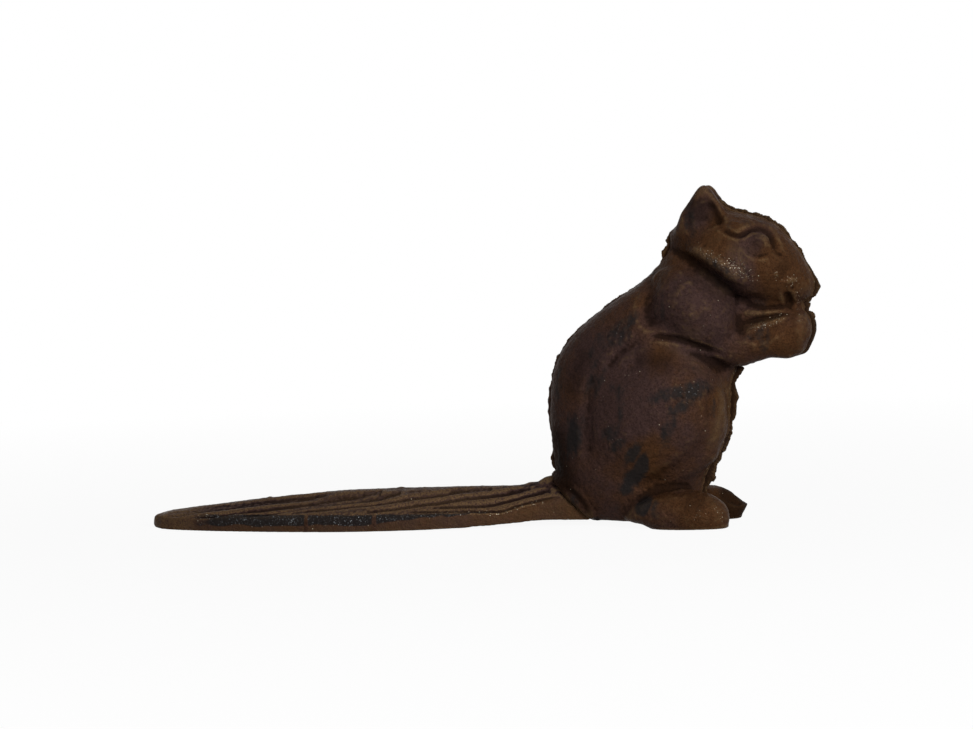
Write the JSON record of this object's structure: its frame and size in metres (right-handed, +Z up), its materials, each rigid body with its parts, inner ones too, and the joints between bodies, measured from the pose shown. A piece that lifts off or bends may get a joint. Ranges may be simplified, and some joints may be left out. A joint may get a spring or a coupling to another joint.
{
  "type": "doorstop",
  "caption": "Cast iron doorstop shaped as a sitting squirrel with paws at its mouth; its long ribbed tail lies flat on the floor as the wedge that goes under a door.",
  "frame": {"origin": "on the floor, under the centre of the whole doorstop's bounding box", "axes": "+X the way the squirrel faces, from the tail's tip to the nose; +Y towards its left side, square to the parting plane of the two halves; +Z up"},
  "size_m": [0.2502, 0.05, 0.1218],
  "materials": {
    "body_iron": "sand-cast, brown rust finish with worn dark patches",
    "tail_iron": "sand-cast, brown rust finish, ribs rubbed brighter",
    "screw_steel": "dark oiled steel"
  },
  "bodies": {
    "root": {"right_body_half": "body_iron", "left_body_half": "body_iron", "tail_wedge": "tail_iron", "body_screw": "screw_steel", "tail_screw": "screw_steel"}
  },
  "joints": []
}
